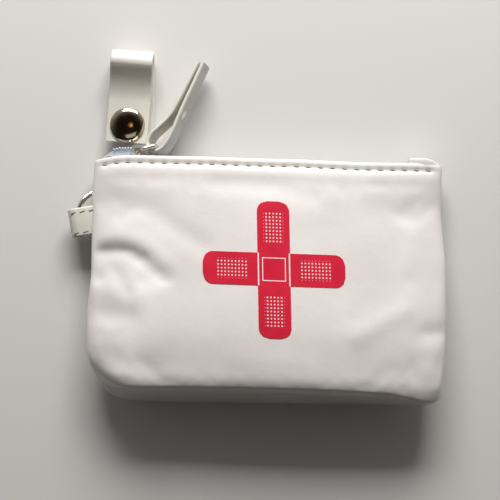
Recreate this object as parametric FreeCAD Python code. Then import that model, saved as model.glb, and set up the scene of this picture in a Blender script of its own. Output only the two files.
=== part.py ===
# A small zip pouch first aid kit, lying on its back: millimetres, +Z up out of the front panel,
# +Y towards the zip, +X to the right. The origin is the middle of the flat that the back panel
# rests on. Every sub-part is written to parts/NODE.step.
import FreeCAD
import Part
import math
import os

V = FreeCAD.Vector
X_AXIS, Y_AXIS, Z_AXIS = V(1, 0, 0), V(0, 1, 0), V(0, 0, 1)

# pouch body
half_width = 62.5
mouth_y = 42.5
base_back_y = -44.2
base_lean = 0.30            # how far the base leans in for each mm of height
base_depth = 27.0
base_seam_z = 15.0
mouth_bottom_z = 2.1
mouth_depth = 11.4
front_bulge = 1.2
back_dip = 0.8              # the filled back panel sags this far and is pressed flat by the floor
back_lift_y = 12.0          # from here the back panel rises to the mouth
lean_end_y = 0.0            # from here to the mouth the panels stand square to the floor
edge_round = 2.6
waist_y = 26.0              # where the sections are roundest
front_powers = (3.4, 2.5, 3.8)   # squareness of the front half: base, waist, mouth
back_powers = (2.6, 1.6, 3.8)    # squareness of the back half: base, waist, mouth
corner_knock = 3.2          # how far the left corner of the base is knocked in
corner_knock_up = 14.0      # and how far up the side that reaches
# dents and swells of the filled front: a line of points, each in from the left side and up
# from the back of the base, how far it fades out over, and its height
front_relief = (
    (((4.5, 56.6), (11.5, 57.0), (17.5, 53.8), (22.9, 48.6), (26.5, 44.2)), 2.8, -1.2),
    (((7.5, 51.4), (13.5, 50.2), (19.0, 44.7), (21.5, 38.2)), 3.4, 0.8),
    (((2.0, 45.4), (4.3, 44.4)), 2.8, -0.8),
    (((9.1, 46.4), (13.3, 40.6)), 2.6, -0.7),
    (((5.5, 32.8), (14.5, 31.4)), 4.2, -0.9),
    (((72.5, 58.2), (94.5, 66.2), (122.5, 73.2)), 5.5, -0.7),
    (((120.5, 26.6), (112.5, 25.4), (102.5, 23.7)), 3.2, -0.9),
    (((93.3, 25.7), (100.5, 29.7), (109.5, 34.2)), 3.6, 0.6),
    (((0.0, 5.5), (125.0, 5.5)), 8.0, -2.2),
    (((1.0, 15.7), (5.5, 11.6), (10.5, 6.6)), 2.8, -1.3))
panel_wall = 1.2
layer_gap = 0.1             # between the panel and what is sewn inside it
lining_wall = 0.4
lining_short = 8.5          # how far short of the mouth the lining ends

# zip
tape_wall = 0.4
tape_recess = 1.5           # how deep in the mouth the underside of the bridging tape lies
tape_half_gap = 0.9
coil_height = 1.3
coil_pitch = 2.4
coil_tooth = 0.9
coil_spine = 0.7
coil_half_joined = 2.0
coil_reach = 0.6            # how far a tooth crosses the middle
coil_spread = 0.4           # how far an open row stands further out
coil_start_off = 7.5        # from the side of the pouch
coil_end_off = 13.1
coil_gap = 0.05
coil_to_post = 0.2
stop_length = 1.4
stop_height = 1.7
stop_lip = 0.2              # how far a stop stands out past the coil
end_stop_length = 1.8
end_stop_half = 2.3
end_tab_length = 8.0
end_tab_half = 2.8
end_tab_height = 1.1
end_tab_corner = 1.0

# slider and pull
slider_off = 10.0           # from the start of the coil at rest
slider_length = 8.0
slider_front_half = 3.2
slider_back_half = 2.9
slider_plate = 0.9
slider_flange = 0.5
slider_gap = 0.2
slider_nose = 1.2
slider_nose_taper = 0.6
slider_waist_off = 0.5
slot_half_gap = 0.35
post_half = 0.65
post_length = 2.4
bail_half_thickness = 0.8
bail_leg = 1.0
bail_inset = 0.6
bail_back_inset = 1.4
bail_corner = 1.4
bail_height = 3.6
bail_crown = 1.0
link_wire = 1.3
link_pitch = 4.7
link_angle = 16.0
link_corner = 1.0
link_side_gap = 0.3
link_drop = 0.25
leather_width = 8.0
leather_leaf = 1.3
leather_length = 36.0
leather_angle = 57.0
leather_eye_gap = 0.3
eye_bulge = 2.5
eye_bulge_at = 5.0
eye_end = 12.0
tip_chamfer = 1.2
rivet_at = 16.0
rivet_stem_r = 0.95
rivet_head_r = 2.1
rivet_head = 0.6
hole_gap = 0.05

# hang strap and its snap
strap_off = 14.0            # from the side of the pouch to the middle of the strap
strap_width = 15.0
strap_leaf = 1.2
strap_low_z = 0.55
strap_start_off = 0.4       # past the mouth
strap_reach = 33.4          # from there to the fold
fold_outer_r = 4.8
strap_joint_gap = 0.05
flap_skew = 4.5
flap_bend_back = 13.8       # these four are measured back from the fold
flap_flat_back = 27.2
flap_tail_back = 27.9
snap_back = 21.8
flap_tail_drop = 0.2
flap_flat_z = 4.05
anchor_length = 6.1
anchor_short = 0.4          # how far short of the mouth it ends
snap_cap_r = 6.25
snap_cap_rim = 0.5
snap_cap_dome = 1.3
snap_stem_r = 1.3
snap_seat_gap = 0.05
socket_r = 5.0
socket_bore_r = 2.15
socket_web = 0.25
stud_flange_r = 4.0
stud_flange = 0.4
stud_neck_r = 1.5
stud_bead_r = 1.75
stud_height = 1.4
stud_bead_share = 0.6
post_flange_r = 4.0
post_flange = 0.45
post_stem_r = 1.2

# side tab and ring
tab_out = 7.5               # how far its end stands out from the side of the pouch
tab_down = 23.2             # from the mouth
tab_mid_z = 7.4
tab_turn = 10.0
tab_width = 10.0
tab_leaf = 1.0
tab_half_gap = 2.05
tab_reach = 15.0
tab_close_at = 6.3          # from here the lower leaf closes up to the seam
tab_join_at = 10.2
tab_join_z = 0.9
ring_major_r = 9.0
ring_wire_r = 0.9
ring_along = 4.1            # from the tab's end to the line that the ring turns about
ring_cock = 7.7
ring_far_z = 1.0

# front emblem: two crossed plasters
emblem_x = 2.0
emblem_y = 3.9
emblem_wide = 49.0
emblem_tall = 47.0
emblem_arm = 11.2
emblem_corner = 4.2
emblem_film = 0.2

# supplies
supply_gap = 0.2
gauze_roll_r = 8.0
gauze_roll_core_r = 1.5
gauze_roll_length = 46.0
gauze_roll_x = -15.0
gauze_roll_up = 18.2         # this and the next three are measured from the back of the base
tape_roll_r = 8.2
tape_core_r = 5.6
tape_core_wall = 0.9
tape_roll_length = 12.5
plaster_length, plaster_width, plaster_thick, plaster_count = 72.0, 19.0, 0.65, 6
plaster_up = 39.2
pad_length, pad_width, pad_thick, pad_count = 48.0, 42.0, 1.15, 3
pad_x, pad_up = -20.0, 48.2
wipe_length, wipe_width, wipe_thick, wipe_count = 36.0, 42.0, 0.9, 4
wipe_x = 24.0
tweezer_length, tweezer_width, tweezer_arm, tweezer_open = 68.0, 5.0, 0.8, 5.0
tweezer_up = 32.2
tweezer_joint = 8.0
pin_length, pin_wire_r, pin_half_width, pin_count, pin_pitch = 27.0, 0.45, 2.4, 3, 7.0
pin_head = 4.5
pin_head_lap = 1.0
pin_half_open = 1.6

# worked out
tape_y = mouth_y - tape_recess
lining_end_y = mouth_y - lining_short
coil_start_x = -(half_width - coil_start_off)
coil_end_x = half_width - coil_end_off
slider_x = coil_start_x + slider_off
strap_x = -(half_width - strap_off)
strap_start_y = mouth_y + strap_start_off
fold_y = strap_start_y + strap_reach
flap_bend_y = fold_y - flap_bend_back
flap_flat_end_y = fold_y - flap_flat_back
flap_tail_y = fold_y - flap_tail_back
snap_y = fold_y - snap_back
anchor_end_y = mouth_y - anchor_short
anchor_start_y = anchor_end_y - anchor_length
tab_end_x = -(half_width + tab_out)
tab_end_y = mouth_y - tab_down
gauze_roll_y = base_back_y + gauze_roll_up
plaster_y = base_back_y + plaster_up
pad_y = wipe_y = base_back_y + pad_up
tweezer_y = base_back_y + tweezer_up
mouth_top_z = mouth_bottom_z + mouth_depth
mouth_mid_z = mouth_bottom_z + mouth_depth / 2
seam_rise = (base_seam_z - mouth_mid_z) / (mouth_y - base_back_y)
lining_inset = panel_wall + layer_gap
inside_inset = lining_inset + lining_wall
panel_rows = 20
section_steps = 40
far = 200.0
past_mouth = 3.0
forms = {}


def box(x0, x1, y0, y1, z0, z1):
    return Part.makeBox(x1 - x0, y1 - y0, z1 - z0, V(x0, y0, z0))


def cylinder(radius, start, end):
    return Part.makeCylinder(radius, (end - start).Length, start, end - start)


def prism(points, direction):
    wire = Part.makePolygon(points + points[:1])
    return Part.Face(wire).extrude(direction)


def revolve(profile, x, y):
    # a solid of revolution about the upright line at x, y, from (radius, z) points
    points = [V(x + r, y, z) for r, z in profile]
    face = Part.Face(Part.makePolygon(points + points[:1]))
    return face.revolve(V(x, y, 0), Z_AXIS, 360)


# ---- the pouch's own surface ----

def seam_z(y):
    return mouth_mid_z + (mouth_y - y) * seam_rise


def top_z(y):
    share = min(1, max(0, (mouth_y - y) / (mouth_y - base_back_y - edge_round)))
    rise = (base_depth - mouth_top_z) * share
    return mouth_top_z + rise + front_bulge * math.sin(math.pi * share)


def bottom_z(y):
    share = min(1, max(0, (y - back_lift_y) / (mouth_y - back_lift_y)))
    return -back_dip + (mouth_bottom_z + back_dip) * share ** 2


def relief(x, y):
    place, height = V(x + half_width, y - base_back_y, 0), 0.0
    for points, fade, rise in front_relief:
        nearest = far
        for start, end in zip(points, points[1:]):
            start, end = V(*start, 0), V(*end, 0)
            way = end - start
            share = min(1, max(0, (place - start).dot(way) / way.dot(way)))
            nearest = min(nearest, (place - start - way * share).Length)
        height += rise * math.exp(-(nearest / fade) ** 2)
    return height


def knocked(y):
    # how far the left side stands in near the base
    share = max(0, 1 - (y - base_back_y) / corner_knock_up)
    return corner_knock * min(1, share) ** 2


def lean(y):
    return base_lean * min(1, max(0, (lean_end_y - y) / (lean_end_y - base_back_y)))


def power_at(y, side):
    base, waist, mouth = front_powers if side > 0 else back_powers
    if y < waist_y:
        return waist + (base - waist) * min(1, (waist_y - y) / (waist_y - base_back_y))
    return waist + (mouth - waist) * min(1, (y - waist_y) / (mouth_y - waist_y)) ** 2


def half_section(y, side, inset, shrink, slope, seam):
    # from the right seam over the front (side 1) or the back (side -1) to the left seam
    power = power_at(y, side)
    reach = half_width - inset - shrink
    limit = top_z(y) - inset - shrink if side > 0 else bottom_z(y) + inset + shrink
    points = []
    for i in range(section_steps + 1):
        turn = math.pi * i / section_steps
        c, s = math.cos(turn), abs(math.sin(turn))
        x = math.copysign(abs(c) ** (2 / power), c) * (reach if c > 0 else reach - knocked(y))
        top = limit + relief(x, y) if side > 0 else limit
        z = seam + (top - seam) * s ** (2 / power)
        points.append(V(x, y + slope * z, z))
    curve = Part.BSplineCurve()
    curve.interpolate(points)
    return curve.toShape()


def pouch_form(inset):
    # the closed pouch, taken in all round by inset, which runs on a little past the mouth
    if inset in forms:
        return forms[inset].copy()
    base_y = base_back_y + inset * math.hypot(1, base_lean)
    rounding = max(edge_round - inset, 0.6)
    rows = []
    for turn in (90, 45, 0):
        a = math.radians(turn)
        rows.append((base_y + rounding * (1 - math.sin(a)), rounding * (1 - math.cos(a))))
    start = base_y + rounding
    rows += [(start + (mouth_y - start) * i / panel_rows, 0) for i in range(1, panel_rows + 1)]
    wires = []
    for y, shrink in rows:
        slope = base_lean if y < start + 0.01 else lean(y)
        seam = seam_z(y) / (1 + slope * seam_rise)
        halves = [half_section(y, side, inset, shrink, slope, seam) for side in (1, -1)]
        wires.append(Part.Wire(halves))
    past = wires[-1].copy()
    past.translate(V(0, past_mouth + inset, 0))
    form = Part.makeLoft(wires + [past], True, True)
    forms[inset] = form.common(box(-far, far, -far, far, inset, far))
    return forms[inset].copy()


def front_side():
    # everything on the front panel's side of the seam plane
    low, high = -far, far
    points = [V(-far, low, seam_z(low)), V(-far, high, seam_z(high)),
              V(-far, high, far), V(-far, low, far)]
    return prism(points, V(2 * far, 0, 0))


def between(x, y, inset, side):
    # height of the pouch's surface, taken in by inset, over the point x, y
    power = power_at(y, side)
    limit = top_z(y) + relief(x, y) - inset if side > 0 else bottom_z(y) + inset
    share = (1 - min(1, abs(x) / (half_width - inset)) ** power) ** (1 / power)
    z = seam_z(y) + (limit - seam_z(y)) * share
    return z if side > 0 else max(z, inset)


def layers(outer_inset, inner_inset, low_y, high_y):
    # a closed skin between two insets, cut to a stretch of the pouch's length
    outer, inner = pouch_form(outer_inset), pouch_form(inner_inset)
    return outer.cut(inner).common(box(-far, far, low_y, high_y, -far, far))


def two_halves(skin):
    front = front_side()
    return skin.common(front), skin.cut(front)


def panels():
    shell = pouch_form(0).cut(pouch_form(panel_wall))
    shell = shell.common(box(-far, far, -far, mouth_y, -far, far))
    lining = layers(lining_inset, inside_inset, -far, lining_end_y)
    front, back = two_halves(shell)
    lining_front, lining_back = two_halves(lining)
    return {"front_panel": front, "back_panel": back,
            "lining_front": lining_front, "lining_back": lining_back}


def zip_tapes():
    top = tape_y + tape_wall
    start = lining_end_y + layer_gap
    block = pouch_form(lining_inset).common(box(-far, far, start, top, -far, far))
    hollow = pouch_form(lining_inset + tape_wall).common(box(-far, far, -far, tape_y, -far, far))
    whole = block.cut(hollow)
    gap = box(-far, far, -far, far, mouth_mid_z - tape_half_gap, mouth_mid_z + tape_half_gap)
    seam_gap = gap.rotate(V(0, mouth_y, mouth_mid_z), X_AXIS, -math.degrees(math.atan(seam_rise)))
    whole = whole.cut(seam_gap)
    front, back = two_halves(whole)
    return {"zip_tape_front": front, "zip_tape_back": back}


def coil_row(side):
    # one row of teeth as a comb: joined to the right of the slider, open to its left
    low, part_x = tape_y + tape_wall + coil_gap, slider_x + coil_tooth
    shift = 0.0 if side > 0 else coil_pitch / 2
    spine, outer, tip = coil_half_joined - coil_spine, coil_half_joined, -coil_reach

    def z(value, x):
        spread = coil_spread if x < part_x else 0.0
        return mouth_mid_z + side * (value + spread)

    open_tip = post_half + coil_to_post - coil_spread
    edge = [V(coil_start_x, low, z(outer, coil_start_x)), V(part_x - 1, low, z(outer, coil_start_x)),
            V(part_x, low, z(outer, part_x)), V(coil_end_x, low, z(outer, part_x))]
    teeth, x = [], coil_start_x + shift
    while x + coil_tooth < coil_end_x:
        reach = open_tip if x < part_x else tip
        teeth += [V(x, low, z(spine, x)), V(x, low, z(reach, x)),
                  V(x + coil_tooth, low, z(reach, x)), V(x + coil_tooth, low, z(spine, x))]
        x += coil_pitch
    inner = [V(coil_start_x, low, z(spine, coil_start_x))] if shift else []
    inner += teeth + [V(coil_end_x, low, z(spine, part_x))]
    return prism(edge + inner[::-1], V(0, coil_height, 0))


def zip_ends():
    low = tape_y + tape_wall + coil_gap
    stops = []
    for side in (1, -1):
        near, away = tape_half_gap, coil_half_joined + coil_spread + stop_lip
        z0, z1 = sorted((mouth_mid_z + side * near, mouth_mid_z + side * away))
        x1 = coil_start_x - coil_gap
        stops.append(box(x1 - stop_length, x1, low, low + stop_height, z0, z1))
    x0 = coil_end_x + coil_gap
    end_stop = box(x0, x0 + end_stop_length, low, low + stop_height,
                   mouth_mid_z - end_stop_half, mouth_mid_z + end_stop_half)
    tab_x = x0 + end_stop_length + coil_gap
    end_tab = box(tab_x, tab_x + end_tab_length, mouth_y + coil_gap,
                  mouth_y + coil_gap + end_tab_height,
                  mouth_mid_z - end_tab_half, mouth_mid_z + end_tab_half)
    end_tab = end_tab.makeFillet(end_tab_corner, [e for e in end_tab.Edges if upright(e)])
    return {"zip_top_stops": Part.makeCompound(stops),
            "zip_end_stop": end_stop, "zip_end_tab": end_tab}


def upright(edge):
    return abs(edge.tangentAt(edge.FirstParameter).dot(Y_AXIS)) > 0.99


# ---- slider, link and leather pull ----

def slider_plate_outline(y, inset=0.0):
    x0, x1 = slider_x - slider_length / 2, slider_x + slider_length / 2
    a, b = slider_front_half - inset, slider_back_half - inset
    nose, waist = x0 + slider_nose, slider_x + slider_waist_off
    half = [(x0, a - slider_nose_taper), (nose, a), (waist, b), (x1, b)]
    return ([V(x, y, mouth_mid_z - z) for x, z in half]
            + [V(x, y, mouth_mid_z + z) for x, z in half[::-1]])


def slider_levels():
    # underside and top of the room inside the slider, and the top of its upper plate
    low_y = tape_y - slot_half_gap - slider_gap
    top_y = tape_y + tape_wall + coil_gap + coil_height + slider_gap
    return low_y, top_y, top_y + slider_plate


def bail_span():
    # the bail's two ends, and the middle of where the link's bar hangs inside it
    x0 = slider_x - slider_length / 2 + bail_inset
    x1 = slider_x + slider_length / 2 - bail_back_inset
    crown_y = slider_levels()[2] + bail_height - bail_crown
    off = link_wire / 2 + link_drop
    return x0, x1, V(x1 - bail_leg - off, crown_y - off, mouth_mid_z)


def slider_body():
    low_y, top_y, plate_top = slider_levels()
    x0, x1 = slider_x - slider_length / 2, slider_x + slider_length / 2
    block = prism(slider_plate_outline(low_y - slider_plate),
                  V(0, plate_top - (low_y - slider_plate), 0))
    channel = prism(slider_plate_outline(low_y, slider_flange), V(0, top_y - low_y, 0))
    front, back = slider_front_half - slider_flange, slider_back_half - slider_flange
    front_end = box(x0 - 1, x0 + slider_nose, low_y, top_y, mouth_mid_z - front, mouth_mid_z + front)
    back_end = box(x1 - 1, x1 + 1, low_y, top_y, mouth_mid_z - back, mouth_mid_z + back)
    slot = box(x0 - 1, x1 + 1, tape_y - slot_half_gap / 2, tape_y + tape_wall + slot_half_gap,
               mouth_mid_z - far, mouth_mid_z + far)
    body = block.cut(channel).cut(slot).cut(front_end).cut(back_end)
    post = box(x0, x0 + post_length, low_y, top_y, mouth_mid_z - post_half, mouth_mid_z + post_half)
    bail_x0, bail_x1, _ = bail_span()
    crown_top = plate_top + bail_height
    outer = box(bail_x0, bail_x1, plate_top - 0.2, crown_top,
                mouth_mid_z - bail_half_thickness, mouth_mid_z + bail_half_thickness)
    outer = outer.makeFillet(bail_corner, [e for e in outer.Edges if runs_along_z(e)
                                           and e.CenterOfMass.y > plate_top + 1])
    inner = box(bail_x0 + bail_leg, bail_x1 - bail_leg, plate_top - 1, crown_top - bail_crown,
                -far, far)
    return body.fuse([post, outer.cut(inner)]).removeSplitter()


def runs_along_z(edge):
    return abs(edge.tangentAt(edge.FirstParameter).dot(Z_AXIS)) > 0.99


def along(angle, distance):
    a = math.radians(angle)
    return V(math.cos(a) * distance, math.sin(a) * distance, 0)


def pull_points():
    # the middles of the link's two bars: one in the bail, one in the leather's eye
    first = bail_span()[2]
    return first, first + along(link_angle, link_pitch)


def pull_link(first, second):
    direction = (second - first).normalize()
    half = leather_width / 2 + link_side_gap + link_wire / 2
    r = link_corner
    corners = [first + Z_AXIS * half, second + Z_AXIS * half,
               second - Z_AXIS * half, first - Z_AXIS * half]
    edges = []
    for i, corner in enumerate(corners):
        before = (corners[i - 1] - corner).normalize()
        after = (corners[(i + 1) % 4] - corner).normalize()
        start, end = corner + before * r, corner + after * r
        middle = corner + (before + after) * (r * (1 - math.sqrt(0.5)))
        edges.append(Part.Arc(start, middle, end).toShape())
        following = corners[(i + 1) % 4] - after * r
        edges.append(Part.LineSegment(end, following).toShape())
    path = Part.Wire(Part.__sortEdges__(edges))
    begin = path.Edges[0]
    at, way = begin.valueAt(begin.FirstParameter), begin.tangentAt(begin.FirstParameter)
    ring = Part.Wire(Part.makeCircle(link_wire / 2, at, way))
    sweep = path.makePipeShell([ring], True, True)
    return Part.Solid(sweep) if sweep.ShapeType != "Solid" else sweep


def leather_pull(second):
    # a strip folded round the link's bar, closed by its rivet: drawn along +X, then turned
    inner_r = link_wire / 2 + leather_eye_gap
    outer_r, half = inner_r + leather_leaf, leather_leaf
    low = mouth_mid_z - leather_width / 2

    def line(a, b):
        return Part.LineSegment(V(a[0], a[1], low), V(b[0], b[1], low)).toShape()

    def arc(r):
        return Part.Arc(V(0, r, low), V(-r, 0, low), V(0, -r, low)).toShape()

    tip, neck = leather_length, (eye_end, half)
    waist, inner_bulge = (eye_bulge_at, eye_bulge), eye_bulge - leather_leaf
    outline = [arc(outer_r),
               line((0, -outer_r), (eye_bulge_at, -eye_bulge)),
               line((eye_bulge_at, -eye_bulge), (eye_end, -half)),
               line((eye_end, -half), (tip, -half)),
               line((tip, -half), (tip, half - tip_chamfer)),
               line((tip, half - tip_chamfer), (tip - tip_chamfer, half)),
               line((tip - tip_chamfer, half), neck),
               line(neck, waist),
               line(waist, (0, outer_r))]
    eye = [arc(inner_r),
           line((0, -inner_r), (eye_bulge_at, -inner_bulge)),
           line((eye_bulge_at, -inner_bulge), (eye_end, 0)),
           line((eye_end, 0), (eye_bulge_at, inner_bulge)),
           line((eye_bulge_at, inner_bulge), (0, inner_r))]
    body = Part.Face(Part.Wire(outline)).extrude(Z_AXIS * leather_width)
    hole = Part.Face(Part.Wire(eye)).extrude(Z_AXIS * leather_width)
    body = body.cut(hole)
    at = V(rivet_at, 0, mouth_mid_z)
    body = body.cut(cylinder(rivet_stem_r + hole_gap, at - Y_AXIS * 5, at + Y_AXIS * 5))
    face = half + hole_gap
    rivet = cylinder(rivet_stem_r, at - Y_AXIS * (face + 0.1), at + Y_AXIS * (face + 0.1))
    for side in (1, -1):
        seat = at + Y_AXIS * (side * face)
        rivet = rivet.fuse(cylinder(rivet_head_r, seat, seat + Y_AXIS * (side * rivet_head)))
    placed = []
    for shape in (body, rivet.removeSplitter()):
        shape = shape.copy()
        shape.rotate(V(0, 0, 0), Z_AXIS, leather_angle)
        shape.translate(V(second.x, second.y, 0))
        placed.append(shape)
    return placed


# ---- hang strap ----

def leaf_profile(line_points):
    # a leaf of the strap from the middle line of its thickness, in the Y-Z plane
    half = strap_leaf / 2
    upper, lower = [], []
    count = len(line_points)
    for i, (y, z) in enumerate(line_points):
        before = line_points[max(i - 1, 0)]
        after = line_points[min(i + 1, count - 1)]
        first = V(0, y - before[0], z - before[1]) if i else None
        second = V(0, after[0] - y, after[1] - z) if i < count - 1 else None
        ways = [w.normalize() for w in (first, second) if w]
        way = (ways[0] + ways[-1]).normalize()
        normal = V(0, -way.z, way.y)
        reach = half / normal.dot(V(0, -ways[0].z, ways[0].y))
        upper.append(V(0, y, z) + normal * reach)
        lower.append(V(0, y, z) - normal * reach)
    return upper + lower[::-1]


def extruded_leaf(line_points):
    left = strap_x - strap_width / 2
    points = [V(left, p.y, p.z) for p in leaf_profile(line_points)]
    return prism(points, V(strap_width, 0, 0))


def turned_flap(point):
    # where a point of the front leaf goes when the leaf is skewed about the fold
    a = math.radians(-flap_skew)
    dx, dy = point.x - strap_x, point.y - fold_y
    return V(strap_x + dx * math.cos(a) - dy * math.sin(a),
             fold_y + dx * math.sin(a) + dy * math.cos(a), point.z)


def hang_strap():
    back_z = strap_low_z + strap_leaf / 2
    fold_z = strap_low_z + fold_outer_r
    front_z = fold_z + fold_outer_r - strap_leaf / 2
    flat_z = flap_flat_z + strap_leaf / 2
    back = extruded_leaf([(strap_start_y, back_z), (fold_y - strap_joint_gap, back_z)])
    front = extruded_leaf([(flap_tail_y, flat_z - flap_tail_drop), (flap_flat_end_y, flat_z),
                           (flap_bend_y, flat_z), (fold_y, front_z)])
    front.rotate(V(strap_x, fold_y, 0), Z_AXIS, -flap_skew)
    front = front.common(box(-far, far, -far, fold_y - strap_joint_gap, -far, far))
    left = strap_x - strap_width / 2
    middle = V(left, fold_y, fold_z)
    fold = cylinder(fold_outer_r, middle, middle + X_AXIS * strap_width)
    fold = fold.cut(cylinder(fold_outer_r - strap_leaf, middle - X_AXIS, middle + X_AXIS * far))
    fold = fold.common(box(-far, far, fold_y, far, -far, far))
    snap = turned_flap(V(strap_x, snap_y, 0))
    post_hole = cylinder(post_stem_r + hole_gap, snap - Z_AXIS * 5, snap + Z_AXIS * 3)
    cap_hole = cylinder(snap_stem_r + hole_gap, snap + Z_AXIS * 3, snap + Z_AXIS * 9)
    back, front = back.cut(post_hole), front.cut(cap_hole)
    skin = layers(-strap_leaf, 0, anchor_start_y, anchor_end_y)
    sides = box(left, left + strap_width, anchor_start_y, anchor_end_y, 0, seam_z(mouth_y))
    anchor = skin.common(sides)
    return {"strap_anchor": anchor, "strap_back_leaf": back, "strap_fold": fold,
            "strap_front_leaf": front}, snap


def snap_fastener(snap):
    x, y = snap.x, snap.y
    leaf_top = strap_low_z + strap_leaf
    flap_top = flap_flat_z + strap_leaf
    cap_low = flap_top + snap_seat_gap
    cap_top = cap_low + snap_cap_rim + snap_cap_dome
    socket_top = flap_flat_z - snap_seat_gap
    stud_low = leaf_top + snap_seat_gap
    socket_low = stud_low + stud_flange + 2 * snap_seat_gap
    r, steps = snap_cap_r, 8
    dome = [(r * math.sin(math.radians(90 * i / steps)),
             cap_low + snap_cap_rim + snap_cap_dome * math.cos(math.radians(90 * i / steps)))
            for i in range(1, steps + 1)]
    stem_low = socket_top - socket_web
    cap = revolve([(0, cap_top)] + dome + [(r, cap_low), (snap_stem_r, cap_low),
                                          (snap_stem_r, stem_low), (0, stem_low)], x, y)
    hole, seat = snap_stem_r + hole_gap, post_stem_r + hole_gap
    socket = revolve([(hole, socket_top), (socket_r, socket_top), (socket_r, socket_low),
                      (socket_bore_r, socket_low), (socket_bore_r, stem_low), (hole, stem_low)], x, y)
    neck_z, top = stud_low + stud_flange, stud_low + stud_flange + stud_height
    stud = revolve([(seat, stud_low), (stud_flange_r, stud_low), (stud_flange_r, neck_z),
                    (stud_neck_r, neck_z), (stud_bead_r, neck_z + stud_height * stud_bead_share),
                    (stud_neck_r, top), (0, top), (0, neck_z + hole_gap), (seat, neck_z + hole_gap)],
                   x, y)
    flange_low = strap_low_z - snap_seat_gap - post_flange
    post = revolve([(0, flange_low), (post_flange_r, flange_low),
                    (post_flange_r, flange_low + post_flange), (post_stem_r, flange_low + post_flange),
                    (post_stem_r, neck_z), (0, neck_z)], x, y)
    return {"snap_cap": cap, "snap_socket": socket, "snap_stud": stud, "snap_post": post}


# ---- side tab and ring ----

def tab_frame():
    turn = math.radians(tab_turn)
    inward = V(math.cos(turn), math.sin(turn), 0)
    across = V(-math.sin(turn), math.cos(turn), 0)
    return V(tab_end_x, tab_end_y, tab_mid_z), inward, across


def side_tab():
    end, inward, across = tab_frame()
    outer, inner = tab_half_gap + tab_leaf, tab_half_gap
    start = end - across * (tab_width / 2)

    def at(distance, height):
        return start + inward * distance + Z_AXIS * height

    def bend(r):
        return Part.Arc(at(outer, r), at(outer - r, 0), at(outer, -r)).toShape()

    def run(a, b):
        return Part.LineSegment(a, b).toShape()

    rise = at(tab_join_at, tab_join_z) - at(tab_close_at, -outer)
    lift = across.cross(rise).normalize() * tab_leaf
    if lift.z < 0:
        lift = lift * -1
    climb = (tab_leaf - lift.z) / rise.z
    turn_up = at(tab_close_at, -outer) + lift + rise * climb
    wire = Part.Wire([bend(outer), run(at(outer, -outer), at(tab_close_at, -outer)),
                      run(at(tab_close_at, -outer), at(tab_join_at, tab_join_z)),
                      run(at(tab_join_at, tab_join_z), at(tab_join_at, tab_join_z) + lift),
                      run(at(tab_join_at, tab_join_z) + lift, turn_up),
                      run(turn_up, at(outer, -inner)), bend(inner),
                      run(at(outer, inner), at(tab_reach, inner)),
                      run(at(tab_reach, inner), at(tab_reach, outer)),
                      run(at(tab_reach, outer), at(outer, outer))])
    loop = Part.Face(wire).extrude(across * tab_width)
    return loop.cut(pouch_form(0))


def ring_frame():
    # a point on the line that the ring turns about, the line's way, and the way to the ring's middle
    end, inward, across = tab_frame()
    cock = math.radians(ring_cock)
    way = across * math.cos(cock) - inward * math.sin(cock)
    flat = inward * math.cos(cock) + across * math.sin(cock)
    half_chord = tab_width / 2 / math.cos(cock)
    sagitta = ring_major_r - math.sqrt(ring_major_r ** 2 - half_chord ** 2)
    distance = ring_major_r - sagitta / 2
    tilt = math.asin((tab_mid_z - ring_far_z) / (distance + ring_major_r))
    down = flat * math.cos(tilt) - Z_AXIS * math.sin(tilt)
    return end + inward * ring_along, way, down, distance


def side_ring():
    pivot, way, down, distance = ring_frame()
    middle = pivot + down * distance
    return Part.makeTorus(ring_major_r, ring_wire_r, middle, way.cross(down))


# ---- front emblem ----

def rounded_bar(length, width, corner, height):
    bar = box(-length / 2, length / 2, -width / 2, width / 2, 0, height)
    return bar.makeFillet(corner, [e for e in bar.Edges if runs_along_z(e)])


def front_emblem():
    high = base_depth + 5
    wide = rounded_bar(emblem_wide, emblem_arm, emblem_corner, high)
    tall = rounded_bar(emblem_tall, emblem_arm, emblem_corner, high)
    tall.rotate(V(0, 0, 0), Z_AXIS, 90)
    cross = wide.fuse(tall).removeSplitter()
    cross.translate(V(emblem_x, emblem_y, 0))
    film = pouch_form(-emblem_film).cut(pouch_form(0))
    return film.common(cross).common(front_side())


# ---- supplies ----

def floor_under(x0, x1, y0, y1):
    # the height at which a flat thing over this rectangle meets the lining
    corners = [(x, y) for x in (x0, x1) for y in (y0, y1)]
    return max(between(x, y, inside_inset, -1) for x, y in corners) + supply_gap


def stack(length, width, thick, count, x, y, low):
    sheets = []
    for i in range(count):
        z = low + i * (thick + layer_gap)
        sheets.append(box(x - length / 2, x + length / 2, y - width / 2, y + width / 2, z, z + thick))
    return Part.makeCompound(sheets), low + count * (thick + layer_gap)


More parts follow.
